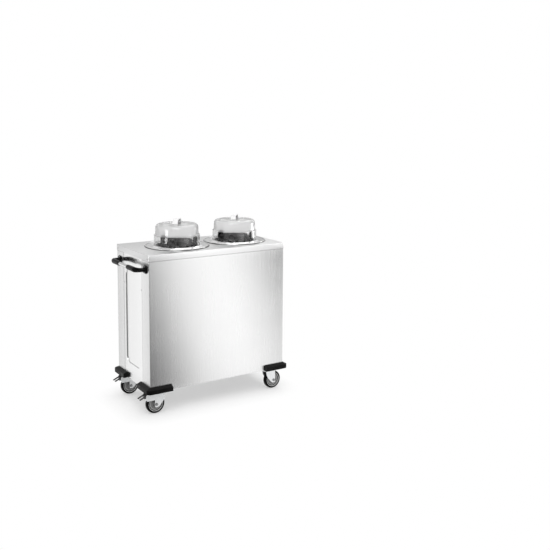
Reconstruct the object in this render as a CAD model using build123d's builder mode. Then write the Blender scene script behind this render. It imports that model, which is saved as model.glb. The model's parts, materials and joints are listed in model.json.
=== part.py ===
"""Two-stack plate dispenser cart: a stainless cabinet on castors with two sprung plate wells.

Millimetres, +Z up. The handle end faces -X, the long sides face -Y (front) and +Y (rear).
The origin is on the floor, under the middle of the outer box.
"""
from build123d import *
import os
from math import cos, radians, sin

os.makedirs("parts", exist_ok=True)

# ---- driving dimensions --------------------------------------------------------------------

# cabinet
body_length, body_width = 1010, 526
body_base = 155  # floor to the base pan, which is the castors' overall height
top_height = 1040  # floor to the top panel
lip_height = 40
sheet = 1.5
corner_return = 112  # how far the side sheets wrap on to the ends
hem = 10  # turned-in foot of the cabinet sheets
seam = 1.5  # gap between an end panel and the side sheets beside it
field_width, field_base, field_top, field_corner = 230, 265, 900, 45  # pressed recess of an end
field_depth, field_slope = 6, 20  # its depth, and its walls' lean in degrees

# bumpers and handle
bumper_reach = 26  # proud of the body
bumper_base, bumper_height, bumper_arm = 150, 40, 176
bumper_face = 28  # height of the upright outer face, under a sloped top
handle_height, handle_reach = 943, 58
tube_radius, elbow_radius, elbow_bend = 12, 13, 40
tube_bare_half, handle_foot_y = 64, 207
socket_depth, socket_collar = 30, 1.5  # where the bare tube enters an elbow

# wells
well_pitch, well_shift = 444, 40  # the wells sit towards the end away from the handle
plate_diameter = 224
flange_radius, flange_bore, flange_bead = 214, 142, 4
dome_radius, dome_band, dome_step, dome_height, dome_wall = 153, 66, 8, 143, 3
guide_turn = 230  # compass angle of the first plate guide in each well
lift_travel = 560

# castors
wheel_radius, tyre_width = 62.5, 36
castor_x, castor_y, castor_trail = 408, 208, 40
castor_plate_length, castor_plate_width, castor_plate_thick = 105, 85, 4

# ---- worked-out places ----------------------------------------------------------------------

handle_out = handle_reach + elbow_radius + socket_collar
body_x = (handle_out - bumper_reach) / 2  # centres the outer box on the origin
well_x = [body_x + well_shift - well_pitch / 2, body_x + well_shift + well_pitch / 2]
ends = {"left": -1, "right": 1}
sides = {"front": -1, "rear": 1}
pan_thick = 2
gap = 0.5  # between a sheet and what slips inside it


def finish(piece, name):
    """Name a finished piece and write it."""
    piece.part.label = name
    export_step(piece.part, f"parts/{name}.step")


def upright(x, y, facing=1):
    """A vertical drawing plane at (x, y): its x runs along +X, or -X if facing is -1, and its y runs up."""
    return Plane((x, y, 0), x_dir=(facing, 0, 0), z_dir=(0, -facing, 0))


def end_plane(x, facing):
    """A vertical drawing plane on an end of the cart, seen from outside: z points out, y runs up."""
    return Plane((x, 0, 0), x_dir=(0, facing, 0), z_dir=(facing, 0, 0))


def around(count, radius, turn=0):
    """Points spaced evenly on a circle."""
    steps = [radians(turn + 360 * k / count) for k in range(count)]
    return [(radius * cos(a), radius * sin(a)) for a in steps]


# ---- top panel: a lipped lid with a hole over each well ---------------------------------------

lid_hole = 152
lid_corner = 4
with BuildPart() as top_panel:
    with BuildSketch(Plane.XY.offset(top_height - lip_height)):
        with Locations((body_x, 0)):
            RectangleRounded(body_length, body_width, lid_corner)
    extrude(amount=lip_height)
    fillet(top_panel.faces().sort_by(Axis.Z)[-1].edges(), radius=2)
    with BuildSketch(Plane.XY.offset(top_height - lip_height)):
        with Locations((body_x, 0)):
            RectangleRounded(body_length - 2 * sheet, body_width - 2 * sheet, lid_corner - sheet)
    extrude(amount=lip_height - sheet, mode=Mode.SUBTRACT)
    with BuildSketch(Plane.XY.offset(top_height)):
        with Locations(*[(x, 0) for x in well_x]):
            Circle(lid_hole)
    extrude(amount=-2 * sheet, mode=Mode.SUBTRACT)
finish(top_panel, "top_panel")

# ---- side sheets: bent round both corners, with a turned-in hem along the foot ----------------

shell_length = body_length - 2 * sheet - 2 * gap
shell_width = body_width - 2 * sheet - 2 * gap
shell_base = body_base - sheet
shell_top = top_height - sheet
bend = 3

for side, way in sides.items():
    keep_y = way * (shell_width - corner_return) / 2
    with BuildPart() as side_panel:
        with BuildSketch(Plane.XY.offset(shell_base)):
            with Locations((body_x, 0)):
                RectangleRounded(shell_length, shell_width, bend)
                RectangleRounded(shell_length - 2 * sheet, shell_width - 2 * sheet, bend - sheet,
                                 mode=Mode.SUBTRACT)
            with Locations((body_x, keep_y)):
                Rectangle(shell_length, corner_return, mode=Mode.INTERSECT)
        extrude(amount=shell_top - shell_base)
        with BuildSketch(Plane.XY.offset(shell_base)):
            with Locations((body_x, 0)):
                RectangleRounded(shell_length, shell_width, bend)
                Rectangle(shell_length - 2 * hem, shell_width - 2 * hem, mode=Mode.SUBTRACT)
            with Locations((body_x, keep_y)):
                Rectangle(shell_length, corner_return, mode=Mode.INTERSECT)
        extrude(amount=sheet)
    finish(side_panel, f"{side}_panel")

# ---- end panels: a pressed recess, bent side returns and a foot hem ----------------------------

end_width = shell_width - 2 * corner_return - 2 * seam
end_middle, end_height = (shell_base + shell_top) / 2, shell_top - shell_base
field_middle, field_height = (field_base + field_top) / 2, field_top - field_base
return_depth = 15
panel_bend = 2.5

for end, way in ends.items():
    inward = end_plane(body_x + way * shell_length / 2, -way)  # on the outer face, looking in
    with BuildPart() as end_panel:
        with BuildSketch(inward):
            with Locations((0, end_middle)):
                Rectangle(end_width, end_height)
        extrude(amount=return_depth)
        with BuildSketch(inward.offset(sheet)):
            with Locations((0, end_middle + sheet)):
                Rectangle(end_width - 2 * sheet, end_height)
        extrude(amount=return_depth, mode=Mode.SUBTRACT)
        fillet(end_panel.edges().filter_by(Axis.Z).group_by(Axis.X)[-1 if way > 0 else 0], radius=panel_bend)
        with BuildSketch(inward):
            with Locations((0, field_middle)):
                RectangleRounded(field_width + 2 * sheet, field_height + 2 * sheet, field_corner + sheet)
        extrude(amount=field_depth + sheet, taper=field_slope)
        with BuildSketch(inward):
            with Locations((0, field_middle)):
                RectangleRounded(field_width, field_height, field_corner)
        extrude(amount=field_depth, taper=field_slope, mode=Mode.SUBTRACT)
    finish(end_panel, f"{end}_end_panel")

# ---- base: a folded pan and two cross rails over the castors ----------------------------------

pan_length = shell_length - 2 * return_depth - 2 * gap
pan_width = shell_width - 2 * sheet - 2 * gap
pan_wall, pan_corner = 38, 5
rail_width, rail_height, rail_thick = 110, 30, 2.5
rail_flange = 14
bolt_x, bolt_y, bolt_radius, bolt_play = 80, 60, 4, 0.5  # spacing of a castor's bolts, and their size
bolt_centres = [(body_x + x_way * castor_x + dx, y_way * castor_y + dy)
                for x_way in ends.values() for y_way in sides.values()
                for dx in (-bolt_x / 2, bolt_x / 2) for dy in (-bolt_y / 2, bolt_y / 2)]

with BuildPart() as base_pan:
    with BuildSketch(Plane.XY.offset(body_base)):
        with Locations((body_x, 0)):
            Rectangle(pan_length, pan_width)
    extrude(amount=pan_wall)
    fillet(base_pan.edges().filter_by(Axis.Z), radius=pan_corner)
    offset(amount=-pan_thick, openings=base_pan.faces().sort_by(Axis.Z)[-1])
    with BuildSketch(Plane.XY.offset(body_base)):
        with Locations(*bolt_centres):
            Circle(bolt_radius + bolt_play)
    extrude(amount=pan_thick, mode=Mode.SUBTRACT)
finish(base_pan, "base_pan")

pan_floor = body_base + pan_thick
for end, way in ends.items():
    with BuildPart() as rail:
        with BuildSketch(upright(body_x + way * castor_x, 0)):
            with Locations((0, pan_floor)):
                Rectangle(rail_width, rail_height, align=(Align.CENTER, Align.MIN))
                Rectangle(rail_width - 2 * rail_thick, rail_height - rail_thick,
                          align=(Align.CENTER, Align.MIN), mode=Mode.SUBTRACT)
                Rectangle(rail_width + 2 * rail_flange, rail_thick, align=(Align.CENTER, Align.MIN))
                Rectangle(rail_width - 2 * rail_thick, rail_thick, align=(Align.CENTER, Align.MIN),
                          mode=Mode.SUBTRACT)
        extrude(amount=(pan_width - 2 * pan_thick) / 2 - gap, both=True)
    finish(rail, f"cross_rail_{end}")

# ---- corner bumpers: a rubber section swept round each corner, ribbed between plain ends -------

bumper_round = 3
groove_depth, groove_height, groove_spacing = 3, 4, 12
plain_end = 42
skin_x, skin_y = shell_length / 2, shell_width / 2
grip_depth = bumper_reach + body_length / 2 - skin_x  # from the cabinet's skin to the outer face
arm = bumper_arm - grip_depth


def bumper_profile(plane):
    """The bumper's section, drawn outward from the cabinet's skin: an upright face under a sloped top."""
    with BuildSketch(plane) as profile:
        Polygon((0, bumper_base), (grip_depth, bumper_base), (grip_depth, bumper_base + bumper_face),
                (0, bumper_base + bumper_height), align=None)
        fillet(profile.vertices().group_by(Axis.X)[-1], radius=bumper_round)
    return profile.sketch


def groove_profile(plane):
    """The two grooves in the bumper's outer face."""
    face_middle = bumper_base + bumper_face / 2
    with BuildSketch(plane) as profile:
        with Locations((grip_depth, face_middle - groove_spacing / 2),
                       (grip_depth, face_middle + groove_spacing / 2)):
            Rectangle(2 * groove_depth, groove_height)
    return profile.sketch


for end, x_way in ends.items():
    for side, y_way in sides.items():
        corner = (body_x + x_way * skin_x, y_way * skin_y, 0)
        long_arm = Plane(corner, x_dir=(0, y_way, 0), z_dir=(y_way, 0, 0))
        short_arm = Plane(corner, x_dir=(x_way, 0, 0), z_dir=(0, -x_way, 0))
        hand = x_way * y_way
        with BuildPart() as bumper:
            extrude(bumper_profile(long_arm), amount=-hand * arm)
            extrude(bumper_profile(short_arm), amount=hand * arm)
            revolve(bumper_profile(short_arm), axis=Axis(corner, (0, 0, hand)), revolution_arc=90)
            extrude(groove_profile(long_arm), amount=-hand * (arm - plain_end), mode=Mode.SUBTRACT)
            extrude(groove_profile(short_arm), amount=hand * (arm - plain_end), mode=Mode.SUBTRACT)
            revolve(groove_profile(short_arm), axis=Axis(corner, (0, 0, hand)), revolution_arc=90,
                    mode=Mode.SUBTRACT)
        finish(bumper, f"bumper_{side}_{end}")

# ---- push handle: a bare tube between two moulded elbows ---------------------------------------

bar_x = body_x - body_length / 2 - handle_reach
foot_x = body_x - shell_length / 2
foot_thick, foot_width, foot_height, foot_corner, foot_slope = 9, 46, 46, 10, 8
collar_length, collar_round = 12, 1

with BuildPart() as handle_tube:
    with BuildSketch(Plane.XZ):
        with Locations((bar_x, handle_height)):
            Circle(tube_radius)
            Circle(tube_radius - sheet, mode=Mode.SUBTRACT)
    extrude(amount=tube_bare_half + socket_depth, both=True)
finish(handle_tube, "handle_tube")

for side, way in sides.items():
    mouth = (bar_x, way * tube_bare_half, handle_height)
    mouth_plane = Plane(mouth, x_dir=(1, 0, 0), z_dir=(0, way, 0))
    with BuildPart() as elbow:
        with BuildLine() as elbow_path:
            FilletPolyline(mouth, (bar_x, way * handle_foot_y, handle_height),
                           (foot_x, way * handle_foot_y, handle_height), radius=elbow_bend)
        with BuildSketch(mouth_plane):
            Circle(elbow_radius)
        sweep(path=elbow_path.line)
        with BuildSketch(mouth_plane):
            Circle(elbow_radius + socket_collar)
        extrude(amount=collar_length)
        fillet(elbow.edges().group_by(Axis.Y)[0 if way > 0 else -1], radius=collar_round)
        with BuildSketch(end_plane(foot_x, -1)):
            with Locations((-way * handle_foot_y, handle_height)):
                RectangleRounded(foot_width, foot_height, foot_corner)
        extrude(amount=foot_thick, taper=foot_slope)
        with BuildSketch(mouth_plane):
            Circle(tube_radius)
        extrude(amount=socket_depth, mode=Mode.SUBTRACT)
    finish(elbow, f"handle_elbow_{side}")

screw_head, screw_rise, screw_slope = 4, 2.5, 20
handle_screw_drop = 17.5
with BuildPart() as handle_screws:
    with BuildSketch(end_plane(foot_x - foot_thick, -1)):
        for y in (-handle_foot_y, handle_foot_y):
            with Locations((y, handle_height - handle_screw_drop), (y, handle_height + handle_screw_drop)):
                Circle(screw_head)
    extrude(amount=screw_rise)
finish(handle_screws, "handle_screws")

# ---- small screws that hold the end panels and the lid's lip -----------------------------------

panel_screw_y, panel_screw_height = 141, 800
lip_screw_y, lip_screw_drop = 240, 27
with BuildPart() as panel_screws:
    for way in ends.values():
        with BuildSketch(end_plane(body_x + way * shell_length / 2, way)):
            with Locations((-panel_screw_y, panel_screw_height), (panel_screw_y, panel_screw_height)):
                Circle(screw_head)
        extrude(amount=screw_rise, taper=screw_slope)
        with BuildSketch(end_plane(body_x + way * body_length / 2, way)):
            with Locations((-lip_screw_y, top_height - lip_screw_drop),
                           (lip_screw_y, top_height - lip_screw_drop)):
                Circle(screw_head)
        extrude(amount=screw_rise, taper=screw_slope)
finish(panel_screws, "panel_screws")

# ---- wells -------------------------------------------------------------------------------------

seat_rise = 9  # the flange's inner seat, above the top panel
seat_radius, dish_radius, dish_outer = 162, 178, 190
collar_drop, flange_sheet = 18, 2
cage_radius, cage_wall, cage_ring_depth = 149, 2, 40
hanger_width, ring_inset = 15, 7  # the hanger's flange, and how far the ring reaches inside the rods
guide_radius = plate_diameter / 2 + 15  # centre line of the guide rods
rod_radius, rod_play = 5, 0.5
cage_foot_thick, cage_foot_half = 5, 9  # thickness and half-width of the cage's foot ring
guide_width, guide_depth, guide_rise, guide_round = 44, 18, 50, 3
platform_rise = 40  # top of the empty platform, over the top panel
platform_radius = plate_diameter / 2 - 8
platform_skirt, platform_sheet, platform_round = 28, 2, 4
strap_width, strap_thick, strap_inset = 24, 3, 8
carrier_depth = 309  # from the platform's top to the foot of the guide spider
spider_height, spider_rim, spider_band = 12, 5, 12
arm_length, arm_width, arm_centre, eye_radius = 40, 20, 20, 12  # the spider's six arms and their eyes
stop_gap = 14  # left over the foot ring at the end of the travel
spring_radius, spring_wire = 8, 2.5
crown_rise, crown_flat, crown_round, dome_shoulder = 4, 45, 180, 25
dome_draft, band_ramp = 3, 4
platform_top = top_height + platform_rise
spider_base = platform_top - carrier_depth
cage_foot = spider_base - lift_travel - stop_gap - cage_foot_thick
guide_foot = top_height - cage_ring_depth + cage_wall
guide_top = top_height + seat_rise + guide_rise
spring_top = top_height - cage_ring_depth
spring_base = spider_base + spider_height


def dome_outline(inset):
    """Half of the dome's section, filled, drawn in from its outer face by the inset."""
    band_top = seat_rise + dome_band - inset / 3
    crown = seat_rise + dome_height - inset
    upper = dome_radius - dome_step - inset
    shoulder = (upper - dome_draft, crown - crown_rise)
    with BuildSketch() as outline:
        Polygon((0, seat_rise), (dome_radius - inset, seat_rise), (dome_radius - inset, band_top),
                (upper, band_top + band_ramp), shoulder, (crown_flat, crown), (0, crown), align=None)
        fillet(outline.vertices().sort_by_distance(shoulder)[0], radius=dome_shoulder - inset)
        fillet(outline.vertices().sort_by_distance((crown_flat, crown))[0], radius=crown_round)
    return outline.sketch


for number, x in enumerate(well_x, start=1):
    axis = Axis((x, 0, 0), (0, 0, 1))
    section = Plane((x, 0, top_height), x_dir=(1, 0, 0), z_dir=(0, -1, 0))

    # polished flange: a collar, a flat seat for the dome, a shallow dish and a rolled edge
    with BuildPart() as well_flange:
        with BuildSketch(section):
            rim = flange_radius - flange_bead
            Polygon(
                (flange_bore, -collar_drop), (flange_bore + flange_sheet, -collar_drop),
                (flange_bore + flange_sheet, seat_rise - flange_sheet),
                (seat_radius, seat_rise - flange_sheet), (dish_radius, 0), (dish_outer, 0),
                (rim, flange_bead - 1), (rim, flange_bead + 1),
                (dish_outer, flange_sheet), (dish_radius, flange_sheet), (seat_radius, seat_rise),
                (flange_bore + flange_sheet, seat_rise), (flange_bore, seat_rise - flange_sheet), align=None)
            with Locations((rim, flange_bead)):
                Circle(flange_bead)
        revolve(axis=axis)
    finish(well_flange, f"well_flange_{number}")

    # welded cage: a hanger ring under the lid, three guide rods and a foot ring on the pan
    with BuildPart() as well_cage:
        with BuildSketch(section):
            Polygon(
                (cage_radius - cage_wall, -sheet), (cage_radius + hanger_width, -sheet),
                (cage_radius + hanger_width, -sheet - cage_wall), (cage_radius, -sheet - cage_wall),
                (cage_radius, -cage_ring_depth), (guide_radius - ring_inset, -cage_ring_depth),
                (guide_radius - ring_inset, cage_wall - cage_ring_depth),
                (cage_radius - cage_wall, cage_wall - cage_ring_depth), align=None)
        revolve(axis=axis)
        with BuildSketch(Plane.XY.offset(cage_foot)):
            with Locations((x, 0)):
                Circle(guide_radius + cage_foot_half)
                Circle(guide_radius - cage_foot_half, mode=Mode.SUBTRACT)
        extrude(amount=cage_foot_thick)
        with BuildSketch(Plane.XY.offset(cage_foot)):
            with Locations((x, 0)):
                with Locations(*around(3, guide_radius, guide_turn)):
                    Circle(rod_radius)
        extrude(amount=guide_foot - cage_foot)
    finish(well_cage, f"well_cage_{number}")

    # plate guides: round-topped plastic posts on the rods, which centre the stack
    with BuildPart() as plate_guides:
        for gx, gy in around(3, guide_radius, guide_turn):
            outward = (gx / guide_radius, gy / guide_radius, 0)
            face = Plane((x + gx, gy, guide_foot), x_dir=(-outward[1], outward[0], 0), z_dir=outward)
            with BuildSketch(face) as post:
                Rectangle(guide_width, guide_top - guide_foot, align=(Align.CENTER, Align.MIN))
                fillet(post.vertices().group_by(Axis.Y)[-1], radius=guide_width / 2 - 1)
            extrude(amount=guide_depth / 2, both=True)
        rounded = [edge for edge in plate_guides.edges() if edge.center().Z > guide_foot + 1]
        fillet(rounded, radius=guide_round)
    finish(plate_guides, f"plate_guides_{number}")

    # lift carrier: the platform the plates stand on, three straps and a spider that rides the rods
    with BuildPart() as platform:
        with BuildSketch(Plane.XY.offset(platform_top)):
            with Locations((x, 0)):
                Circle(platform_radius)
        extrude(amount=-platform_skirt)
        fillet(platform.edges().group_by(Axis.Z)[-1], radius=platform_round)
        with BuildSketch(Plane.XY.offset(platform_top - platform_skirt)):
            with Locations((x, 0)):
                Circle(platform_radius - platform_sheet)
        extrude(amount=platform_skirt - platform_sheet, mode=Mode.SUBTRACT)
        with BuildSketch(Plane.XY.offset(spider_base)):
            with Locations((x, 0)):
                with PolarLocations(platform_radius - strap_inset, 3, start_angle=guide_turn + 60):
                    Rectangle(strap_thick, strap_width)
        extrude(amount=carrier_depth - platform_sheet / 2)
        with BuildSketch(Plane.XY.offset(spider_base)):
            with Locations((x, 0)):
                Circle(platform_radius - spider_rim)
                Circle(platform_radius - spider_rim - spider_band, mode=Mode.SUBTRACT)
                with PolarLocations(guide_radius - arm_centre, 6, start_angle=guide_turn):
                    Rectangle(arm_length, arm_width)
                with Locations(*around(6, guide_radius, guide_turn)):
                    Circle(eye_radius)
                with Locations(*around(3, guide_radius, guide_turn)):
                    Circle(rod_radius + rod_play, mode=Mode.SUBTRACT)
        extrude(amount=spider_height)
    finish(platform, f"lift_platform_{number}")

    # close-wound extension springs: hooked under the cage's ring and on the spider
    with BuildPart() as springs:
        with BuildSketch(Plane.XY.offset(spring_base)):
            with Locations((x, 0)):
                with Locations(*around(3, guide_radius, guide_turn + 60)):
                    Circle(spring_radius)
                    Circle(spring_radius - spring_wire, mode=Mode.SUBTRACT)
        extrude(amount=spring_top - spring_base)
    finish(springs, f"lift_springs_{number}")

    # clear dome: a wide band, a step, straight sides and a rounded, slightly crowned top
    with BuildPart() as dome:
        with BuildSketch(section):
            add(dome_outline(0))
            add(dome_outline(dome_wall), mode=Mode.SUBTRACT)
        revolve(axis=axis)
    finish(dome, f"dome_{number}")

# ---- dome grips: an arched strap on each dome ---------------------------------------------------

grip_length, grip_width, grip_height, grip_thick, grip_turn = 95, 37, 30, 5, 48
grip_ramp, grip_round = 16, 12  # how far each leg leans inward, and its bend
grip_foot = top_height + seat_rise + dome_height


def arch_outline(inset):
    """The grip's arch, filled, drawn in from its outer face by the inset."""
    half, top = grip_length / 2 - inset, grip_height - inset
    with BuildSketch() as outline:
        with BuildLine():
            FilletPolyline((-half, 0), (grip_ramp - half, top), (half - grip_ramp, top), (half, 0),
                           radius=grip_round - inset)
            Line((half, 0), (-half, 0))
        make_face()
    return outline.sketch


for number, x in enumerate(well_x, start=1):
    along = (cos(radians(grip_turn)), sin(radians(grip_turn)), 0)
    across = (sin(radians(grip_turn)), -cos(radians(grip_turn)), 0)
    with BuildPart() as grip:
        with BuildSketch(Plane((x, 0, grip_foot), x_dir=along, z_dir=across)):
            add(arch_outline(0))
            add(arch_outline(grip_thick), mode=Mode.SUBTRACT)
        extrude(amount=grip_width / 2, both=True)
    finish(grip, f"dome_grip_{number}")

# ---- castors: fixed top plate, swivelling fork, axle bolt, hub and tyre; the handle end is braked

plate_base, plate_corner = body_base - castor_plate_thick, 10
race_radius, race_top, race_slope, race_play = 30, 146.5, 3, 0.5
kingpin, kingpin_head, kingpin_head_thick, kingpin_play = 8, 12, 6, 0.4
fork_top, fork_web, fork_gap = 136, 4, 25  # top of the fork's web, its thickness, inside half-width
fork_leg, fork_crown = 3, 12  # thickness of a leg, and how far the round crown stands past it
fork_face = fork_gap + fork_leg  # outer half-width
leg_outline = [(-24, fork_top), (-17, 100), (-6, 80), (18, 52), (30, 44), (46, 44), (51, 50), (51, fork_top)]
cheek_start, cheek_end, cheek_base, cheek_chamfer = 38, 112, 93, 8
cheek_web_start, cheek_web_end = 20, 75  # the web that ties the two cheeks over the tyre
pin_along, pin_up, pin_radius = 97, 124, 4  # the pedal's pin, from the kingpin's axis along the trail
axle_radius, axle_head, axle_head_thick, axle_play = 5, 8.5, 6, 0.06
rim_radius, rim_half, lip_radius = 50, 15, 47  # the hub's rim, and the lip that shows beside the tyre
groove_half, disc_radius, disc_half, disc_inner = 8, 42, 11, 19
boss_radius, boss_half = 14, 23
tread_round, tyre_step, tyre_shoulder = 6, 4, 58.5
pedal_angle, pedal_length, pedal_width, pedal_thick = -24, 56, 48, 3
pedal_slot, pedal_hub, pedal_neck, pedal_play = 16, 9, 8, 0.05
pedal_shoe, shoe_reach, shoe_radius = -115, 15.5, 5  # the lobe that presses on the tyre
shoe_turn = radians(pedal_shoe - pedal_angle)
hub_half_outline = [
    (boss_half, axle_radius + axle_play), (boss_half, boss_radius), (disc_half, disc_inner),
    (disc_half, disc_radius - 1), (groove_half, disc_radius), (groove_half, lip_radius - 1),
    (rim_half, lip_radius), (rim_half, rim_radius)]
tyre_half_outline = [
    (rim_half, rim_radius), (tyre_width / 2, rim_radius + tyre_step), (tyre_width / 2, tyre_shoulder - 2),
    (tyre_width / 2 - tread_round, wheel_radius - 1)]


def mirrored(half_outline):
    """A wheel's section from the right half of it, listed from one end of the middle line to the other."""
    return half_outline + [(-across, radius) for across, radius in reversed(half_outline)]


for end, x_way in ends.items():
    for side, y_way in sides.items():
        name = f"{side}_{end}"
        braked = end == "left"
        x, y = body_x + x_way * castor_x, y_way * castor_y
        middle = upright(x, y, x_way)
        kingpin_axis = Axis((x, y, 0), (0, 0, 1))
        axle_line = Axis((x + x_way * castor_trail, y, wheel_radius), (0, 1, 0))

        # top plate with the fixed race and the riveted kingpin
        with BuildPart() as top_plate:
            with BuildSketch(Plane.XY.offset(plate_base)):
                with Locations((x, y)):
                    RectangleRounded(castor_plate_length, castor_plate_width, plate_corner)
                    with GridLocations(bolt_x, bolt_y, 2, 2):
                        Circle(bolt_radius + bolt_play, mode=Mode.SUBTRACT)
            extrude(amount=castor_plate_thick)
            web_base = fork_top - fork_web
            with BuildSketch(middle):
                Polygon((0, plate_base), (race_radius + race_slope, plate_base),
                        (race_radius, race_top + race_play), (kingpin, race_top + race_play),
                        (kingpin, web_base - race_play), (kingpin_head, web_base - race_play),
                        (kingpin_head, web_base - kingpin_head_thick), (0, web_base - kingpin_head_thick),
                        align=None)
            revolve(axis=kingpin_axis)
        finish(top_plate, f"castor_plate_{name}")

        # fork: two tapered legs under a web and a race cup; a braked one has cheeks over the tyre
        outer_face = middle.offset(-fork_face)
        with BuildPart() as fork:
            with BuildSketch(Plane.XY.offset(fork_top)):
                with Locations((x, y)):
                    Circle(fork_face + fork_crown)
                    Rectangle(2 * (fork_face + fork_crown), 2 * fork_face, mode=Mode.INTERSECT)
            extrude(amount=-fork_web)
            with BuildSketch(middle):
                Polygon((0, fork_top), (race_radius + race_slope, fork_top),
                        (race_radius + race_slope - 1, race_top - race_slope), (race_radius, race_top),
                        (0, race_top), align=None)
            revolve(axis=kingpin_axis)
            for inside in (fork_gap, -fork_face):
                with BuildSketch(middle.offset(inside)):
                    Polygon(*leg_outline, align=None)
                extrude(amount=fork_leg)
            if braked:
                for inside in (fork_gap, -fork_face):
                    with BuildSketch(middle.offset(inside)):
                        Polygon((cheek_start, fork_top), (cheek_end - cheek_chamfer, fork_top),
                                (cheek_end, fork_top - cheek_chamfer), (cheek_end, cheek_base + cheek_chamfer),
                                (cheek_end - cheek_chamfer, cheek_base), (cheek_start, cheek_base), align=None)
                    extrude(amount=fork_leg)
                with BuildSketch(outer_face):
                    Polygon((cheek_web_start, fork_top), (cheek_web_end, fork_top),
                            (cheek_web_end, fork_top - fork_leg), (cheek_web_start, fork_top - fork_leg),
                            align=None)
                extrude(amount=2 * fork_face)
                with BuildSketch(outer_face):
                    with Locations((pin_along, pin_up)):
                        Circle(pin_radius)
                extrude(amount=2 * fork_face)
            with BuildSketch(Plane.XY.offset(fork_top - fork_web)):
                with Locations((x, y)):
                    Circle(kingpin + kingpin_play)
            extrude(amount=race_top, mode=Mode.SUBTRACT)
            with BuildSketch(outer_face):
                with Locations((castor_trail, wheel_radius)):
                    Circle(axle_radius)
            extrude(amount=2 * fork_face, mode=Mode.SUBTRACT)
        finish(fork, f"castor_fork_{name}")

        # axle: a bolt through both legs, with its head on one side and its nut on the other
        with BuildPart() as axle:
            with BuildSketch(middle):
                with Locations((castor_trail, wheel_radius)):
                    Circle(axle_radius)
            extrude(amount=fork_face + axle_head_thick, both=True)
            for face in (fork_face, -fork_face - axle_head_thick):
                with BuildSketch(middle.offset(face)):
                    with Locations((castor_trail, wheel_radius)):
                        RegularPolygon(axle_head, 6)
                extrude(amount=axle_head_thick)
        finish(axle, f"castor_axle_{name}")

        # hub: a stepped grey centre that runs on the axle, grooved inside its rim
        rim_plane = Plane((x + x_way * castor_trail, y, wheel_radius), x_dir=(0, 1, 0), z_dir=(1, 0, 0))
        with BuildPart() as hub:
            with BuildSketch(rim_plane):
                Polygon(*mirrored(hub_half_outline), align=None)
            revolve(axis=axle_line)
        finish(hub, f"castor_hub_{name}")

        # tyre: a solid rubber ring with a crowned tread
        with BuildPart() as tyre:
            with BuildSketch(rim_plane):
                outline = mirrored(tyre_half_outline[::-1])
                with BuildLine():
                    Polyline(*outline)
                    ThreePointArc(outline[-1], (0, wheel_radius), outline[0])
                make_face()
            revolve(axis=axle_line)
        finish(tyre, f"castor_tyre_{name}")

        # brake pedal: a sleeve on the fork's pin, a toe plate with a slot and a shoe over the tyre
        if braked:
            along = (x_way * cos(radians(pedal_angle)), 0, sin(radians(pedal_angle)))
            pin_centre = (x + x_way * pin_along, y, pin_up)
            toe = Plane(pin_centre, x_dir=along, z_dir=(0, -x_way, 0))
            half = pedal_width / 2
            with BuildPart() as pedal:
                with BuildSketch(toe):
                    Circle(pedal_hub)
                    with Locations((0, pedal_hub)):
                        Rectangle(pedal_length, pedal_thick, align=(Align.MIN, Align.MAX))
                    with Locations((shoe_reach * cos(shoe_turn), shoe_reach * sin(shoe_turn))):
                        Circle(shoe_radius)
                    with Locations((shoe_reach / 2 * cos(shoe_turn), shoe_reach / 2 * sin(shoe_turn))):
                        Rectangle(2 * shoe_radius, shoe_reach, rotation=pedal_shoe - pedal_angle + 90)
                    Circle(pin_radius + pedal_play, mode=Mode.SUBTRACT)
                extrude(amount=half, both=True)
                with BuildSketch(toe.offset(-pedal_slot / 2)):
                    with Locations((pedal_hub + pedal_neck, 0)):
                        Rectangle(pedal_length, 2 * pedal_hub, align=(Align.MIN, Align.CENTER))
                extrude(amount=pedal_slot, mode=Mode.SUBTRACT)
            finish(pedal, f"brake_pedal_{side}")

# ---- castor bolts: heads under the plates, shanks up through the pan into nuts on its floor ------

bolt_head, bolt_head_thick, nut_thick, thread_end, nut_play = 6.5, 5.5, 6.5, 2, 0.05
with BuildPart() as castor_bolts:
    with BuildSketch(Plane.XY.offset(plate_base - bolt_head_thick)):
        with Locations(*bolt_centres):
            RegularPolygon(bolt_head, 6)
    extrude(amount=bolt_head_thick)
    with BuildSketch(Plane.XY.offset(plate_base)):
        with Locations(*bolt_centres):
            Circle(bolt_radius)
    extrude(amount=pan_floor + nut_thick + thread_end - plate_base)
finish(castor_bolts, "castor_bolts")

with BuildPart() as castor_nuts:
    with BuildSketch(Plane.XY.offset(pan_floor)):
        with Locations(*bolt_centres):
            RegularPolygon(bolt_head, 6)
            Circle(bolt_radius + nut_play, mode=Mode.SUBTRACT)
    extrude(amount=nut_thick)
finish(castor_nuts, "castor_nuts")
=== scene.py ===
"""Looks of the two-stack plate dispenser cart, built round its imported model.

Metres, +Z up, in the model's own frame: the handle end faces -X, the long sides face -Y and +Y.
Every mesh is drawn where it stands, so that a piece's object coordinates are the frame's.
"""

import json
from math import cos, pi, radians, sin, tau

import bmesh
import bpy
from mathutils import Matrix, Vector


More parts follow.
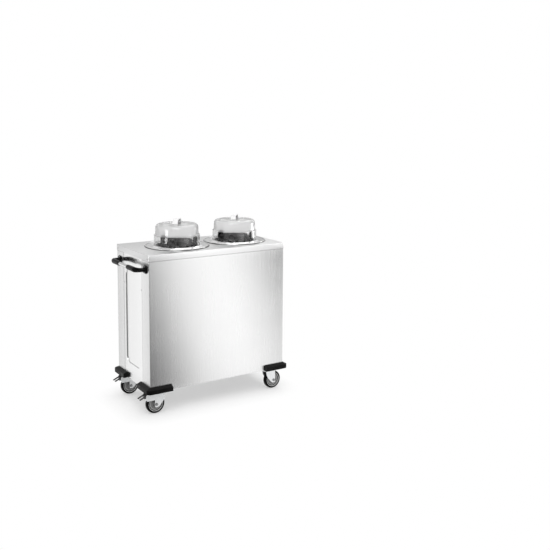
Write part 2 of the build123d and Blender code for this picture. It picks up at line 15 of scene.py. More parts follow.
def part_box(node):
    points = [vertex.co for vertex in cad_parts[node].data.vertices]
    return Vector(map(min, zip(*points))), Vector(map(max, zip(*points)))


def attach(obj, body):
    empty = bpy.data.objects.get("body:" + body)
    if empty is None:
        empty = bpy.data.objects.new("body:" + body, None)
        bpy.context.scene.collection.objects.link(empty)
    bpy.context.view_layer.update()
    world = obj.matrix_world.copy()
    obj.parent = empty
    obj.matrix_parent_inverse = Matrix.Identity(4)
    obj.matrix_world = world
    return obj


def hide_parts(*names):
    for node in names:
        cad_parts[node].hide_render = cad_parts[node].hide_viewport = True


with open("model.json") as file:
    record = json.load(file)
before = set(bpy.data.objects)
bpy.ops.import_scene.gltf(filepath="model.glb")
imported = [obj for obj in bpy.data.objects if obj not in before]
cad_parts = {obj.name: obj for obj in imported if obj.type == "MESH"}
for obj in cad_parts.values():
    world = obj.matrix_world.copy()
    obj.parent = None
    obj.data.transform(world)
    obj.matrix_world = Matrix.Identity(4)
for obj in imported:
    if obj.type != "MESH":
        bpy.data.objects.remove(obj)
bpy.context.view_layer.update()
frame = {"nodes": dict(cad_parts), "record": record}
nodes = frame["nodes"]

MM = 0.001
ENDS = ("left", "right")
SIDES = ("front", "rear")

# ---- the photograph's view -------------------------------------------------------------------

PHOTO_SIZE = 550  # pixels, both ways
FOCAL_PIXELS = 783
CENTRE_ROW = 205  # the row of the photograph that lies on the camera's axis
SENSOR = 36
CAMERA_PLACE = (-2.449, -4.703, 1.916)
CAMERA_YAW, CAMERA_PITCH, CAMERA_ROLL = -0.5788, 0.1147, 0.0079

# ---- materials ---------------------------------------------------------------------------------

MIX_SHARE, MIX_A, MIX_B, MIX_OUT = 0, 6, 7, 2  # the Mix node's sockets for colours
BEVEL_SAMPLES, SEAM_SAMPLES = 4, 8
EDGE_TURN = (0.995, 0.85)  # cosine from a rounded normal to the true one: on a flat face, on an edge


class Shader:
    """A material being built: its surface, and shorthand for the nodes that feed it."""

    def __init__(self, name, roughness, **values):
        self.material = bpy.data.materials.new(name)
        self.material.use_nodes = True
        self.tree = self.material.node_tree
        self.surface = self.tree.nodes["Principled BSDF"]
        self.output = self.tree.nodes["Material Output"]
        self.set("Roughness", roughness)
        for socket, value in values.items():
            self.set(socket.replace("_", " "), value)

    def set(self, socket, value):
        """Give a socket of the surface a plain value, or link it to another node's output."""
        if isinstance(value, bpy.types.NodeSocket):
            self.tree.links.new(value, self.surface.inputs[socket])
        else:
            self.surface.inputs[socket].default_value = value

    def add(self, kind, inputs, **settings):
        """A node of that kind; inputs maps its sockets to values or to other nodes' outputs."""
        node = self.tree.nodes.new("ShaderNode" + kind)
        for name, value in settings.items():
            setattr(node, name, value)
        for socket, value in inputs.items():
            if isinstance(value, bpy.types.NodeSocket):
                self.tree.links.new(value, node.inputs[socket])
            else:
                node.inputs[socket].default_value = value
        return node

    def place(self, stretch=(1, 1, 1)):
        """Object coordinates; a stretch under 1 draws a pattern out along that axis."""
        object_place = self.add("TexCoord", {}).outputs["Object"]
        return self.add("Mapping", {"Vector": object_place, "Scale": stretch}).outputs["Vector"]

    def axes(self):
        """The object coordinates one by one, under the names X, Y and Z."""
        return self.add("SeparateXYZ", {"Vector": self.place()}).outputs

    def noise(self, scale, stretch=(1, 1, 1), detail=3):
        """Soft random patches, about 1/scale metres across."""
        inputs = {"Vector": self.place(stretch), "Scale": scale, "Detail": detail}
        return self.add("TexNoise", inputs).outputs["Fac"]

    def cells(self, scale):
        """Random flat cells, about 1/scale metres across."""
        inputs = {"Vector": self.place(), "Scale": scale}
        return self.add("TexVoronoi", inputs).outputs["Color"]

    def span(self, value, old, new):
        """Map one range of a value on to another, held at its ends."""
        inputs = {"Value": value, "From Min": old[0], "From Max": old[1],
                  "To Min": new[0], "To Max": new[1]}
        return self.add("MapRange", inputs).outputs["Result"]

    def join(self, operation, a, b=0.0):
        """Arithmetic on one or two values."""
        return self.add("Math", {0: a, 1: b}, operation=operation).outputs["Value"]

    def mean(self, *values):
        """The average of some values."""
        total = values[0]
        for value in values[1:]:
            total = self.join("ADD", total, value)
        return self.join("DIVIDE", total, len(values))

    def mix(self, share, a, b):
        """A colour between a and b."""
        node = self.add("Mix", {MIX_SHARE: share, MIX_A: a, MIX_B: b}, data_type="RGBA")
        return node.outputs[MIX_OUT]

    def ramp(self, value, stops, interpolation="CARDINAL"):
        """A grey curve through stops of (value, tone)."""
        first, last = stops[0][0], stops[-1][0]
        node = self.add("ValToRGB", {"Fac": self.span(value, (first, last), (0, 1))})
        curve = node.color_ramp
        curve.interpolation = interpolation
        while len(curve.elements) < len(stops):
            curve.elements.new(0.5)
        for element, (at, tone) in zip(curve.elements, stops):
            element.position = (at - first) / (last - first)
            element.color = grey(tone)
        return node.outputs["Color"]

    def distance(self, x, y):
        """How far off a place is, from how far it is off in each of two directions."""
        off = self.add("CombineXYZ", {"X": x, "Y": y}).outputs["Vector"]
        return self.add("VectorMath", {0: off}, operation="LENGTH").outputs["Value"]

    def rounded(self, radius):
        """The normal as it would be if edges were rounded by that radius."""
        return self.add("Bevel", {"Radius": radius}, samples=BEVEL_SAMPLES).outputs["Normal"]

    def edges(self, width):
        """1 on outer and inner edges, 0 on flat faces."""
        rounded = self.rounded(width)
        true = self.add("NewGeometry", {}).outputs["True Normal"]
        turn = self.add("VectorMath", {0: rounded, 1: true}, operation="DOT_PRODUCT").outputs["Value"]
        return self.span(turn, EDGE_TURN, (0, 1))

    def creases(self, reach, open_share=0.97, shut_share=0.7):
        """1 deep in seams and inner corners, 0 in the open; it masks the painted shade."""
        light = self.add("AmbientOcclusion", {"Distance": reach}, samples=SEAM_SAMPLES).outputs["AO"]
        return self.span(light, (open_share, shut_share), (0, 1))

    def relief(self, height, depth, strength, edge=0.0):
        """Bump from a height pattern, over edges rounded by a small radius."""
        inputs = {"Height": height, "Distance": depth, "Strength": strength}
        if edge:
            inputs["Normal"] = self.rounded(edge)
        self.set("Normal", self.add("Bump", inputs).outputs["Normal"])

    def shine_through(self, share, other):
        """Show another surface in place of this one by a share of 0 to 1."""
        both = self.add("MixShader", {0: share, 1: self.surface.outputs["BSDF"], 2: other})
        self.tree.links.new(both.outputs["Shader"], self.output.inputs["Surface"])


def grey(level, tint=0.0):
    """An opaque grey; a positive tint leans to blue."""
    return (level * (1 - tint), level, level * (1 + tint), 1)


DRAWN = 0.015  # the stretch that draws noise out into brush marks
ALONG = {"X": (DRAWN, 1, 1), "Z": (1, 1, DRAWN)}  # stretch for each brushed axis
MOST = (0.3, 0.7)  # the range that holds most of a noise's values
SOLID_IOR = 1.5  # of plastic, rubber and paint
MOULDED_EDGE = 0.5 * MM  # rounding of a moulded edge

# how far painted shade reaches out of a seam, and the openness where it starts and where it is full
SEAM = (7 * MM, 0.97, 0.7)
LIGHT_SEAM = (3 * MM, 0.9, 0.5)
SEAM_SHADE_TONE = 0.1  # the tone of the painted shade in seams and inner corners


def brushed_steel(name, level, roughness, axis, seam=SEAM, seam_shade=SEAM_SHADE_TONE):
    """Stainless sheet brushed along one axis: marks of handling, worn edges and painted shade in the
    seams.
    """
    shader = Shader(name, roughness, Metallic=1.0, Anisotropic=0.4)
    fine = shader.noise(700, ALONG[axis], 2)
    broad = shader.noise(90, ALONG[axis], 3)
    smudge = shader.noise(5, detail=4)
    grain = shader.mean(fine, broad, smudge)
    tone = shader.mix(shader.span(grain, MOST, (0, 1)), grey(level * 0.98), grey(level * 1.02))
    worn = shader.mix(shader.edges(1.5 * MM), tone, grey(min(1, level * 1.12)))
    # painted shade: seams and inner corners are darkened towards the shade tone
    shader.set("Base Color", shader.mix(shader.creases(*seam), worn, grey(seam_shade)))
    shader.set("Roughness", shader.span(grain, MOST, (roughness - 0.05, roughness + 0.06)))
    shader.relief(shader.mean(fine, fine, broad), 0.06 * MM, 0.12, 1 * MM)
    return shader.material


def polished_steel(name, level, roughness):
    """Polished stainless with fine wipe marks and painted shade in its creases."""
    shader = Shader(name, roughness, Metallic=1.0)
    wipe = shader.noise(60, (1, 1, 0.2), 4)
    smudge = shader.noise(12, detail=5)
    tone = shader.mix(shader.span(smudge, (0.35, 0.7), (0, 1)), grey(level), grey(level * 0.92))
    # painted shade: creases are darkened towards the shade tone
    shader.set("Base Color", shader.mix(shader.creases(4 * MM), tone, grey(SEAM_SHADE_TONE)))
    shader.set("Roughness", shader.span(wipe, MOST, (roughness * 0.6, roughness * 1.7)))
    shader.relief(smudge, 0.1 * MM, 0.15, 0.6 * MM)
    return shader.material


def zinc_plate(name, level, roughness):
    """Bright zinc plating: faint crystal patches, a bluish cast, rubbed edges and painted shade in
    corners.
    """
    shader = Shader(name, roughness, Metallic=1.0)
    patch = shader.add("SeparateColor", {"Color": shader.cells(160)}).outputs["Red"]
    cloud = shader.noise(25, detail=4)
    share = shader.mean(patch, cloud)
    tone = shader.mix(share, grey(level * 0.9, 0.012), grey(level * 1.06, 0.01))
    worn = shader.mix(shader.edges(1 * MM), tone, grey(min(1, level * 1.2)))
    # painted shade: corners and creases are darkened towards the shade tone
    shader.set("Base Color", shader.mix(shader.creases(5 * MM, 0.9, 0.5), worn, grey(SEAM_SHADE_TONE)))
    shader.set("Roughness", shader.span(share, (0.2, 0.8), (roughness - 0.08, roughness + 0.1)))
    shader.relief(cloud, 0.2 * MM, 0.2, 0.6 * MM)
    return shader.material


def moulded_plastic(name, level, roughness, gloss=0.5):
    """Moulded plastic with a fine spark-eroded skin, soft sheen marks and rubbed edges."""
    shader = Shader(name, roughness, IOR=SOLID_IOR, Specular_IOR_Level=gloss)
    skin = shader.noise(1400, detail=2)
    rub = shader.noise(18, detail=5)
    tone = shader.mix(shader.span(rub, (0.35, 0.7), (0, 1)), grey(level), grey(level * 1.07 + 0.002))
    shader.set("Base Color", shader.mix(shader.edges(MOULDED_EDGE), tone, grey(level * 1.12 + 0.006)))
    shader.set("Roughness", shader.span(rub, (0.3, 0.75), (roughness - 0.08, roughness + 0.12)))
    shader.relief(skin, 0.05 * MM, 0.3, MOULDED_EDGE)
    return shader.material


def rubber(name, level, roughness, gloss):
    """Black rubber: fine pores, a greyer bloom in patches and scuffed edges."""
    shader = Shader(name, roughness, IOR=SOLID_IOR, Specular_IOR_Level=gloss)
    pores = shader.noise(1100, detail=3)
    bloom = shader.noise(22, detail=5)
    tone = shader.mix(shader.span(bloom, (0.4, 0.75), (0, 1)), grey(level), grey(level * 1.5 + 0.002))
    shader.set("Base Color", shader.mix(shader.edges(1.2 * MM), tone, grey(level * 2 + 0.004)))
    shader.set("Roughness", shader.span(bloom, (0.3, 0.75), (roughness - 0.1, roughness + 0.12)))
    shader.relief(pores, 0.08 * MM, 0.35, 1 * MM)
    return shader.material


def powder_coat(name, level, roughness, gloss):
    """Powder coating: the paint's fine orange peel, rubbed lighter in patches and on edges."""
    shader = Shader(name, roughness, IOR=SOLID_IOR, Specular_IOR_Level=gloss)
    peel = shader.noise(420, detail=2)
    rub = shader.noise(30, detail=5)
    tone = shader.mix(shader.span(rub, (0.45, 0.8), (0, 1)), grey(level), grey(level * 1.6 + 0.006))
    shader.set("Base Color", shader.mix(shader.edges(1.5 * MM), tone, grey(level * 2 + 0.03)))
    shader.set("Roughness", shader.span(rub, (0.3, 0.75), (roughness - 0.1, roughness + 0.1)))
    shader.relief(peel, 0.12 * MM, 0.4, 0.8 * MM)
    return shader.material


DOME_TINT = 18  # smoky tint of the domes' plastic, per metre, which darkens their edges
DOME_BAND = 66 * MM  # height of the clear band over the flange's top
DOME_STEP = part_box("well_flange_1")[1].z + DOME_BAND
DOME_BLEND = 2 * MM  # the frosting fades in over this much each side of the step
DOME_FROST = 0.3  # roughness that the frosting adds
DOME_IOR = 1.15  # low, so that the plastic veils what is inside no more than the photograph shows


def clear_plastic(name, level):
    """Clear polycarbonate, scuffed, and frosted over the step; shadow light passes through it."""
    shader = Shader(name, 0.06, IOR=DOME_IOR, Transmission_Weight=1.0, Coat_Weight=0.8,
                    Coat_Roughness=0.04)
    scuff = shader.noise(30, detail=6)
    over = shader.span(shader.axes()["Z"], (DOME_STEP - DOME_BLEND, DOME_STEP + DOME_BLEND), (0, 1))
    tone = shader.mix(shader.span(scuff, (0.4, 0.8), (0, 1)), grey(level), grey(level * 0.96))
    shader.set("Base Color", shader.mix(over, tone, grey(level * 0.97)))
    frost = shader.join("MULTIPLY", over, DOME_FROST)
    shader.set("Roughness", shader.join("ADD", shader.span(scuff, (0.35, 0.8), (0.03, 0.14)), frost))
    shader.relief(scuff, 0.1 * MM, 0.1)
    tint = shader.add("VolumeAbsorption", {"Color": grey(0), "Density": DOME_TINT}).outputs["Volume"]
    shader.tree.links.new(tint, shader.output.inputs["Volume"])
    shadow = shader.add("LightPath", {}).outputs["Is Shadow Ray"]
    shader.shine_through(shadow, shader.add("BsdfTransparent", {"Color": grey(0.9)}).outputs["BSDF"])
    return shader.material


HUB_TONES_AND_LIGHT = (  # radius from the axle in mm, tone: boss, disc, ring, painted shade in the groove, painted highlight on the rim, painted shade at the tyre
    (0, 0.3), (14, 0.3), (15, 0.16), (34.5, 0.16), (35.5, 0.42), (39, 0.42),
    (40, 0.004), (45.3, 0.004), (46, 0.85), (48.3, 0.9), (48.8, 0.004), (50, 0.004))


def hub_plastic(name, axle):
    """Grey moulded hub with painted shade in its groove and creases and a painted highlight on its
    rim, about an axle along Y.
    """
    shader = Shader(name, 0.45, IOR=SOLID_IOR)
    axes = shader.axes()
    radius = shader.distance(shader.join("SUBTRACT", axes["X"], axle.x),
                             shader.join("SUBTRACT", axes["Z"], axle.z))
    # the radial tones paint shade into the groove and next to the tyre, and a highlight on the rim
    ring = shader.ramp(radius, [(mm * MM, tone) for mm, tone in HUB_TONES_AND_LIGHT], "LINEAR")
    rub = shader.noise(30, detail=5)
    dull = shader.mix(shader.span(rub, (0.4, 0.75), (0, 0.35)), ring, grey(0.12))
    # painted shade: creases are darkened to near black
    shader.set("Base Color", shader.mix(shader.creases(6 * MM, 0.85, 0.4), dull, grey(0.01)))
    shader.set("Roughness", shader.span(rub, (0.3, 0.75), (0.38, 0.6)))
    shader.relief(shader.noise(900, detail=2), 0.05 * MM, 0.3, 0.5 * MM)
    return shader.material


FINISHES = {
    "stainless_brushed": brushed_steel("brushed_upright", 0.74, 0.25, "Z"),
    "stainless_plain": brushed_steel("mill_finish", 0.62, 0.4, "X"),
    "stainless_polished": polished_steel("polished", 0.7, 0.1),
    "platform_coating": powder_coat("black_powder_coat", 0.003, 0.7, 0.08),
    "spring_steel": brushed_steel("spring_wire", 0.5, 0.35, "Z"),
    "screw_steel": zinc_plate("screw_plating", 0.6, 0.3),
    "moulded_black": moulded_plastic("black_moulding", 0.001, 0.26, gloss=0.1),
    "bumper_rubber": rubber("bumper_rubber", 0.0015, 0.34, 0.12),
    "clear_dome": clear_plastic("dome_clear", 0.92),
    "dome_grip": moulded_plastic("milky_moulding", 0.82, 0.35),
    "zinc": zinc_plate("fork_plating", 0.75, 0.34),
    "tyre_black": rubber("tyre_rubber", 0.0015, 0.45, 0.05),
}
LID = brushed_steel("brushed_lengthways", 0.7, 0.3, "X")
# the end sheets get a lighter painted shade, tone 0.45, in their recess lines and seams
END_SHEET = brushed_steel("end_sheet", 0.76, 0.16, "Z", LIGHT_SEAM, 0.45)
# painted shade: the zinc pedals get a dark coat standing in for the darker surroundings their metal
# reflects
PEDAL_SHADE_COAT = powder_coat("pedal_painted_shade", 0.06, 0.6, 0.06)
# painted shade: the axles' zinc is made far darker than the forks' for the shade in the nut's dimple
AXLE_SHADE_PLATING = zinc_plate("axle_painted_shade", 0.3, 0.4)
SPECIAL = {"top_panel": LID, "left_end_panel": END_SHEET, "right_end_panel": END_SHEET}
for side in SIDES:
    SPECIAL[f"brake_pedal_{side}"] = PEDAL_SHADE_COAT
    for end in ENDS:
        SPECIAL[f"castor_axle_{side}_{end}"] = AXLE_SHADE_PLATING
        hub_node = f"castor_hub_{side}_{end}"
        hub_low, hub_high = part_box(hub_node)
        SPECIAL[hub_node] = hub_plastic(f"hub_{side}_{end}", (hub_low + hub_high) / 2)


def dress_nodes():
    """Give every node of the frame the finish of its material slot, or its own."""
    for row in frame["record"]["subparts"]:
        finish = SPECIAL.get(row["node"]) or FINISHES[row["material_slot"]]
        for slot in nodes[row["node"]].material_slots:
            slot.material = finish


# ---- detailed pieces that stand for plainer solids ------------------------------------------------

SHARP_ANGLE = radians(38)  # faces that meet at more than this keep a sharp edge


def make_piece(name, mesh_builder, slot, body, *replaced):
    """A smooth-shaded piece from a bmesh, riding on a body in place of the replaced nodes."""
    mesh = bpy.data.meshes.new(name)
    bmesh.ops.recalc_face_normals(mesh_builder, faces=mesh_builder.faces)
    mesh_builder.to_mesh(mesh)
    mesh_builder.free()
    mesh.polygons.foreach_set("use_smooth", [True] * len(mesh.polygons))
    mesh.set_sharp_from_angle(angle=SHARP_ANGLE)
    mesh.materials.append(FINISHES[slot])
    piece = bpy.data.objects.new(name, mesh)
    bpy.context.scene.collection.objects.link(piece)
    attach(piece, body)
    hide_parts(*replaced)


def add_rings(builder, rings):
    """A closed skin through rings of as many points each, with a flat cap at both ends."""
    loops = [[builder.verts.new(point) for point in ring] for ring in rings]
    count = len(loops[0])
    for low, high in zip(loops, loops[1:]):
        for i in range(count):
            j = (i + 1) % count
            builder.faces.new((low[i], low[j], high[j], high[i]))
    builder.faces.new(loops[0][::-1])
    builder.faces.new(loops[-1])


WELD_DIGITS, SORT_DIGITS = 5, 4  # decimals of a metre at which points are one, and boxes in line


def islands(node):
    """The box of each separate solid in a node, as (lowest corner, highest corner)."""
    mesh = nodes[node].data
    group = list(range(len(mesh.vertices)))

    def root(i):
        while group[i] != i:
            group[i] = group[group[i]]
            i = group[i]
        return i

    weld = {}
    for vertex in mesh.vertices:
        key = tuple(round(value, WELD_DIGITS) for value in vertex.co)
        group[root(vertex.index)] = root(weld.setdefault(key, vertex.index))
    for edge in mesh.edges:
        group[root(edge.vertices[0])] = root(edge.vertices[1])
    found = {}
    for vertex in mesh.vertices:
        found.setdefault(root(vertex.index), []).append(vertex.co)
    return [(Vector(min(co[axis] for co in points) for axis in range(3)),
             Vector(max(co[axis] for co in points) for axis in range(3)))
            for points in found.values()]


HEAD_RINGS, HEAD_SIDES = 14, 48
HEAD_FLAT, HEAD_ROUND = 0.45, 0.55  # how much of the rise follows each of two profiles
HEAD_POWER = 5  # squareness of the flatter profile
HEAD_LEAST = 0.05  # the lowest rise inside the rim, as a share
RECESS_REACH, RECESS_HALF, RECESS_DEPTH = 0.62, 0.15, 0.6  # cross, as shares of radius and rise
PANEL_TURNS, HANDLE_TURNS = (0.3, 1.1, 0.7, 0.1), (0.5, 0.2)  # how the driver left the crosses


def add_screw_head(builder, low, high, turn):
    """A pan head with a cross recess on an end face, in the box of the plain head it replaces."""
    middle = (low + high) / 2
    way = 1 if middle.x > 0 else -1
    seat = low.x if way > 0 else high.x
    radius, rise = (high.z - low.z) / 2, high.x - low.x
    rings = []
    for step in range(HEAD_RINGS + 1):
        share = 1 - step / (HEAD_RINGS + 1)
        ring = []
        for side in range(HEAD_SIDES):
            angle = tau * side / HEAD_SIDES
            u, v = share * cos(angle), share * sin(angle)
            height = 0
            if share < 1:
                height = (1 - share ** HEAD_POWER) * HEAD_FLAT + HEAD_ROUND * (1 - share ** 2) ** 0.5
            across = min(abs(u * cos(turn) + v * sin(turn)), abs(v * cos(turn) - u * sin(turn)))
            if across < RECESS_HALF and share < RECESS_REACH:
                height -= RECESS_DEPTH
            ring.append((seat + way * rise * max(height, HEAD_LEAST if share < 1 else 0),
                         middle.y + u * radius, middle.z + v * radius))
        rings.append(ring)
    add_rings(builder, rings)


def add_screws(node, turns):
    """Cross-recessed heads in place of a node's plain ones, each turned as the driver left it."""
    builder = bmesh.new()
    boxes = islands(node)
    boxes.sort(key=lambda box: tuple(round(value, SORT_DIGITS) for value in box[0]))
    for number, (low, high) in enumerate(boxes):
        add_screw_head(builder, low, high, turns[number % len(turns)])
    make_piece(node + "_recessed", builder, "screw_steel", "cart", node)


TUBE_LOW, TUBE_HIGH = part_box("handle_tube")
ELBOW_SIDES, ELBOW_STEPS = 40, 14  # points round a section, sections round the bend
ELBOW_HALF_WIDE, ELBOW_HALF_TALL = 14.2 * MM, 17 * MM  # the grip's oval section
ELBOW_NECK = 13 * MM  # the round neck at the foot, which clears the screws
ELBOW_BEND = 40 * MM
FOOT_HALF, FOOT_THICK = 23 * MM, 9 * MM
FOOT_ROUND = 2.5 * MM  # rounding of the foot's outer edge
NECK_RISE = 2 * MM  # from the foot's face to the full neck
GRIP_START = 20 * MM  # from the bend's end to the first section of the straight grip
SOCKET_MOUTH, TUBE_RADIUS = 64 * MM, 12 * MM  # where the elbow ends on the tube, from the middle


def squircle(power, half_wide, half_tall):
    """Points of a superellipse: a power of 2 is an ellipse, and more is squarer."""
    points = []
    for step in range(ELBOW_SIDES):
        c, s = cos(tau * step / ELBOW_SIDES), sin(tau * step / ELBOW_SIDES)
        points.append((abs(c) ** (2 / power) * (1 if c > 0 else -1) * half_wide,
                       abs(s) ** (2 / power) * (1 if s > 0 else -1) * half_tall))
    return points


def add_elbow(side, way):
    """A moulded elbow: a square foot on the end panel, a round neck, an oval grip and a socket."""
    node = f"handle_elbow_{side}"
    low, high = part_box(node)
    tube = (TUBE_LOW + TUBE_HIGH) / 2
    seat, foot_y = high.x, way * (max(abs(low.y), abs(high.y)) - FOOT_HALF)
    reach = seat - tube.x  # from the panel to the tube's centre line
    foot = (  # distance out from the panel, squareness, half-width, half-height
        (0, 6, FOOT_HALF, FOOT_HALF),
        (FOOT_THICK - FOOT_ROUND, 6, FOOT_HALF, FOOT_HALF),
        (FOOT_THICK - 0.8 * MM, 5.5, FOOT_HALF - 0.7 * MM, FOOT_HALF - 0.7 * MM),
        (FOOT_THICK, 5, FOOT_HALF - FOOT_ROUND, FOOT_HALF - FOOT_ROUND),
        (FOOT_THICK + 0.2 * MM, 2, ELBOW_NECK + 0.6 * MM, ELBOW_NECK + 0.2 * MM),
        (FOOT_THICK + NECK_RISE, 2, ELBOW_NECK, ELBOW_NECK))
    rings = [[(seat - along, foot_y + u, tube.z + v) for u, v in squircle(power, wide, tall)]
             for along, power, wide, tall in foot]
    start = reach - ELBOW_BEND
    for step in range(1, ELBOW_STEPS + 1):
        angle = pi / 2 * step / ELBOW_STEPS
        swell = (1 - cos(pi * step / ELBOW_STEPS)) / 2
        wide = ELBOW_NECK + (ELBOW_HALF_WIDE - ELBOW_NECK) * swell
        tall = ELBOW_NECK + (ELBOW_HALF_TALL - ELBOW_NECK) * swell
        centre_x = seat - start - ELBOW_BEND * sin(angle)
        centre_y = foot_y - way * ELBOW_BEND * (1 - cos(angle))
        rings.append([(centre_x - u * sin(angle), centre_y + u * cos(angle), tube.z + v)
                      for u, v in squircle(2, wide, tall)])
    bend_end = abs(foot_y) - ELBOW_BEND
    grip = (  # distance from the tube's middle, half-width, half-height, and so into the socket
        (bend_end - GRIP_START, ELBOW_HALF_WIDE, ELBOW_HALF_TALL),
        (SOCKET_MOUTH + 12 * MM, ELBOW_HALF_WIDE, ELBOW_HALF_TALL - 1 * MM),
        (SOCKET_MOUTH + 2.5 * MM, ELBOW_HALF_WIDE, ELBOW_HALF_TALL - 2 * MM),
        (SOCKET_MOUTH + 0.7 * MM, ELBOW_HALF_WIDE - 0.7 * MM, ELBOW_HALF_TALL - 2.7 * MM),
        (SOCKET_MOUTH, TUBE_RADIUS + 0.8 * MM, TUBE_RADIUS + 0.8 * MM),
        (SOCKET_MOUTH + 6 * MM, TUBE_RADIUS + 0.1 * MM, TUBE_RADIUS + 0.1 * MM))
    for at, wide, tall in grip:
        rings.append([(tube.x - u, way * at, tube.z + v) for u, v in squircle(2, wide, tall)])
    builder = bmesh.new()
    add_rings(builder, rings)
    make_piece(f"moulded_elbow_{side}", builder, "moulded_black", "cart", node)


# ---- floor, backdrop, light and camera -----------------------------------------------------------

FLOOR_HALF = 8
FLOOR_DROP = 0.5 * MM  # the floor lies this far under the wheels
FOOTPRINT = (0.45, 0.2)  # half-sizes of the patch under the cart that keeps the whole shadow
FLOOR_FADE, SHADOW_SHARE = 0.22, 0.38  # the floor fades to white over this distance, from this share


def flat_piece(name, corners, material):
    """One flat face between the corners."""
    mesh = bpy.data.meshes.new(name)
    mesh.from_pydata(corners, [], [range(len(corners))])
    mesh.materials.append(material)
    piece = bpy.data.objects.new(name, mesh)
    bpy.context.scene.collection.objects.link(piece)
    return piece


def add_floor():
    """A pale floor that keeps the cart's soft shadow and fades into the white backdrop."""
    shader = Shader("floor_paint", 0.9)
    cloud = shader.noise(3, detail=3)
    shader.set("Base Color", shader.mix(cloud, grey(0.9), grey(0.93)))
    axes = shader.axes()
    beside = []
    for axis, half in zip("XY", FOOTPRINT):
        past = shader.join("SUBTRACT", shader.join("ABSOLUTE", axes[axis]), half)
        beside.append(shader.join("MAXIMUM", past, 0))
    far = shader.span(shader.distance(*beside), (0, FLOOR_FADE), (SHADOW_SHARE, 1))
    path = shader.add("LightPath", {}).outputs
    seen = shader.join("MAXIMUM", path["Is Camera Ray"], path["Is Glossy Ray"])
    seen = shader.join("MAXIMUM", seen, path["Is Transmission Ray"])
    glow = shader.add("Emission", {"Color": grey(1), "Strength": 1.0}).outputs["Emission"]
    shader.shine_through(shader.join("MULTIPLY", far, seen), glow)
    corners = [(x * FLOOR_HALF, y * FLOOR_HALF, -FLOOR_DROP)
               for x, y in ((-1, -1), (1, -1), (1, 1), (-1, 1))]
    flat_piece("floor", corners, shader.material)


WORLD_FILL = 0.62  # strength of the world's light on the object


def add_world():
    """White for what is seen directly, in metal or through the domes, and a soft fill otherwise."""
    world = bpy.data.worlds.new("studio")
    bpy.context.scene.world = world
    world.use_nodes = True
    tree = world.node_tree
    background = tree.nodes["Background"]
    background.inputs["Color"].default_value = grey(1)
    path = tree.nodes.new("ShaderNodeLightPath").outputs
    seen = path["Is Camera Ray"]
    for name in ("Is Glossy Ray", "Is Transmission Ray"):
        larger = tree.nodes.new("ShaderNodeMath")
        larger.operation = "MAXIMUM"
        tree.links.new(seen, larger.inputs[0])
        tree.links.new(path[name], larger.inputs[1])
        seen = larger.outputs["Value"]
    strength = tree.nodes.new("ShaderNodeMapRange")
    strength.inputs["To Min"].default_value = WORLD_FILL
    tree.links.new(seen, strength.inputs["Value"])
    tree.links.new(strength.outputs["Result"], background.inputs["Strength"])


def add_softbox(name, place, size, power):
    """A square area light aimed at the middle of the cart."""
    light = bpy.data.lights.new(name, "AREA")
    light.shape, light.size, light.energy = "SQUARE", size, power
    lamp = bpy.data.objects.new(name, light)
    lamp.location = place
    lamp.rotation_mode = "QUATERNION"
    lamp.rotation_quaternion = (Vector(LIGHT_TARGET) - Vector(place)).to_track_quat("-Z", "Y")
    bpy.context.scene.collection.objects.link(lamp)


def add_card(name, axis, at, across, heights, stops, slant, glow):
    """An upright studio card beside the cart that only shiny surfaces see.

    It stands across that axis at a distance from the origin, and reaches from one place to the
    other sideways and in height. Stops are (place sideways, tone); a slant leans the pattern, and
    the glow is the card's brightness where its tone is 1."""
    shader = Shader(name + "_paint", 1)
    axes = shader.axes()
    sideways = axes["Y" if axis == "X" else "X"]
    leaned = shader.join("ADD", sideways, shader.join("MULTIPLY", axes["Z"], slant))
    inputs = {"Color": shader.ramp(leaned, stops), "Strength": glow}
    shader.shine_through(1.0, shader.add("Emission", inputs).outputs["Emission"])
    (left, right), (low, high) = across, heights
    outline = ((left, low), (right, low), (right, high), (left, high))
    corners = [(at, a, h) if axis == "X" else (a, at, h) for a, h in outline]
    card = flat_piece(name, corners, shader.material)
    card.visible_camera = card.visible_diffuse = False
    card.visible_shadow = card.visible_transmission = False


FRONT_STOPS = ((-0.5, 0.06), (-0.28, 0.16), (-0.08, 0.44), (0.08, 0.73), (0.3, 0.91),
               (0.55, 0.89), (0.8, 0.61), (0.95, 0.3), (1.4, 0.1))
LIP_STOPS = ((-0.5, 0.1), (-0.15, 0.3), (0.1, 0.7), (0.3, 1), (0.8, 1), (1.4, 0.9))
REAR_STOPS = ((-1.2, 0.46), (-0.5, 0.52), (0.1, 0.53), (0.7, 0.51), (1.2, 0.4))
LEFT_STOPS = ((-0.6, 0.5), (0.19, 0.55), (0.27, 0.92), (0.45, 0.91),
              (0.66, 0.88), (0.76, 1.2), (1.6, 1.2))
RIGHT_STOPS = ((-1.6, 0.85), (-0.6, 0.9), (-0.1, 0.6), (0.4, 0.35), (1.2, 0.7))
EVEN_TONE = ((-4, 1), (4, 1))
CAMERA_SIDE_STOPS = ((-4, 0.004), (-2.2, 0.004), (-0.7, 0.1), (0.6, 0.5), (2.9, 0.85))
CARD_GLOW, LIP_GLOW, STRIP_GLOW, SIDE_GLOW = 1.3, 1.4, 11, 5
LEAN = 0.27  # how far the front cards' pattern shifts sideways per metre of height
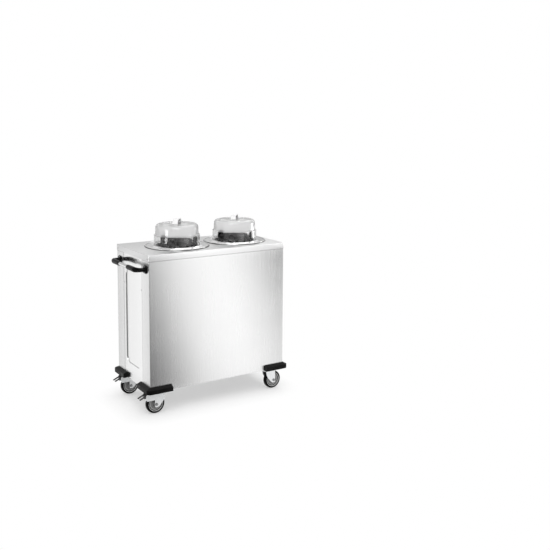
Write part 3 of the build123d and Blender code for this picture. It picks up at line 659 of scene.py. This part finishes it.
CARDS = (  # name, axis, distance, reach sideways, reach in height, stops, slant, glow
    ("front_card", "Y", -0.6, (-1.4, 1.6), (0.0, 0.985), FRONT_STOPS, LEAN, CARD_GLOW),
    ("rear_card", "Y", 0.75, (-1.4, 1.6), (0.0, 1.35), REAR_STOPS, 0.0, CARD_GLOW),
    ("left_card", "X", -0.72, (-0.5, 1.5), (0.0, 0.975), LEFT_STOPS, 0.0, CARD_GLOW),
    ("right_card", "X", 0.8, (-1.5, 1.2), (0.0, 0.975), RIGHT_STOPS, 0.0, CARD_GLOW),
    ("left_strip", "X", -2.6, (-0.7, -0.1), (0.5, 1.2), EVEN_TONE, 0.0, STRIP_GLOW),
    ("right_strip", "X", 2.8, (-0.5, 0.2), (0.5, 1.2), EVEN_TONE, 0.0, STRIP_GLOW),
    ("lip_card", "Y", -0.59, (-1.4, 1.6), (0.945, 0.985), LIP_STOPS, LEAN, LIP_GLOW),
    ("camera_side", "Y", -3.2, (-3.6, 2.9), (0.0, 0.8), CAMERA_SIDE_STOPS, 0.0, SIDE_GLOW),
    ("right_side", "X", 2.9, (-3.2, -0.5), (0.0, 0.8), EVEN_TONE, 0.0, SIDE_GLOW),
)
LIGHT_TARGET = (0, 0, 0.6)
SOFTBOXES = (  # name, place, size, watts
    ("key", (-1.6, -2.4, 3.4), 2.4, 70),
    ("fill", (1.6, 1.2, 3.4), 2.0, 25),
)


def add_camera():
    """A camera at the photograph's viewing angle."""
    camera = bpy.data.objects.new("camera", bpy.data.cameras.new("camera"))
    camera.data.sensor_width = SENSOR
    camera.data.lens = FOCAL_PIXELS / PHOTO_SIZE * SENSOR
    camera.data.shift_y = CENTRE_ROW / PHOTO_SIZE - 0.5
    camera.matrix_world = (
        Matrix.Translation(CAMERA_PLACE) @ Matrix.Rotation(CAMERA_YAW, 4, "Z")
        @ Matrix.Rotation(pi / 2 - CAMERA_PITCH, 4, "X") @ Matrix.Rotation(CAMERA_ROLL, 4, "Z"))
    bpy.context.scene.collection.objects.link(camera)
    bpy.context.scene.camera = camera


dress_nodes()
add_screws("panel_screws", PANEL_TURNS)
add_screws("handle_screws", HANDLE_TURNS)
add_elbow("front", -1)
add_elbow("rear", 1)
add_floor()
add_world()
for softbox in SOFTBOXES:
    add_softbox(*softbox)
for card_row in CARDS:
    add_card(*card_row)
add_camera()
bpy.context.scene.view_settings.view_transform = "Standard"
